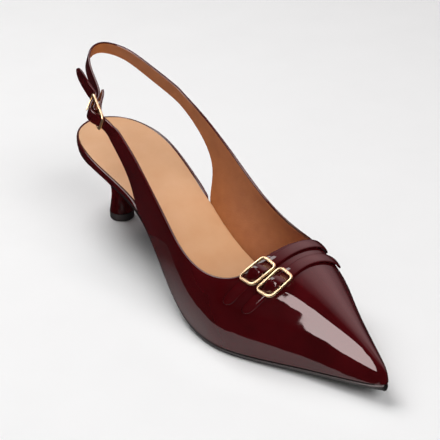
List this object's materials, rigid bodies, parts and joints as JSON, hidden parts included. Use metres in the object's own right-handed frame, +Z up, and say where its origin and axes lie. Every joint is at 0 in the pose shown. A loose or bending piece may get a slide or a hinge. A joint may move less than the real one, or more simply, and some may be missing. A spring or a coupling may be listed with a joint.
{
  "type": "pointed toe pump",
  "caption": "Pointed toe slingback pump with a slim low heel, buckled straps over the vamp and an open heel seat, to be worn on the right foot.",
  "frame": {"origin": "middle of the shoe's box, on the floor", "axes": "+X to the toe, +Y to the medial (inner) side, +Z up"},
  "size_m": [0.26, 0.0726, 0.1056],
  "materials": {
    "patent": "burgundy patent, mirror gloss",
    "sock": "smooth tan, satin",
    "tread": "black, satin",
    "top_piece": "black, matt",
    "gold": "pale gold plated, polished"
  },
  "bodies": {
    "root": {"upper": "patent", "sling_strap": "patent", "billet_strap": "patent", "vamp_strap_rear": "patent", "vamp_strap_front": "patent", "seat_board": "patent", "heel": "patent", "insole": "sock", "outsole": "tread", "heel_tip": "top_piece", "sling_buckle": "gold", "vamp_buckle_rear": "gold", "vamp_buckle_front": "gold"}
  },
  "joints": []
}
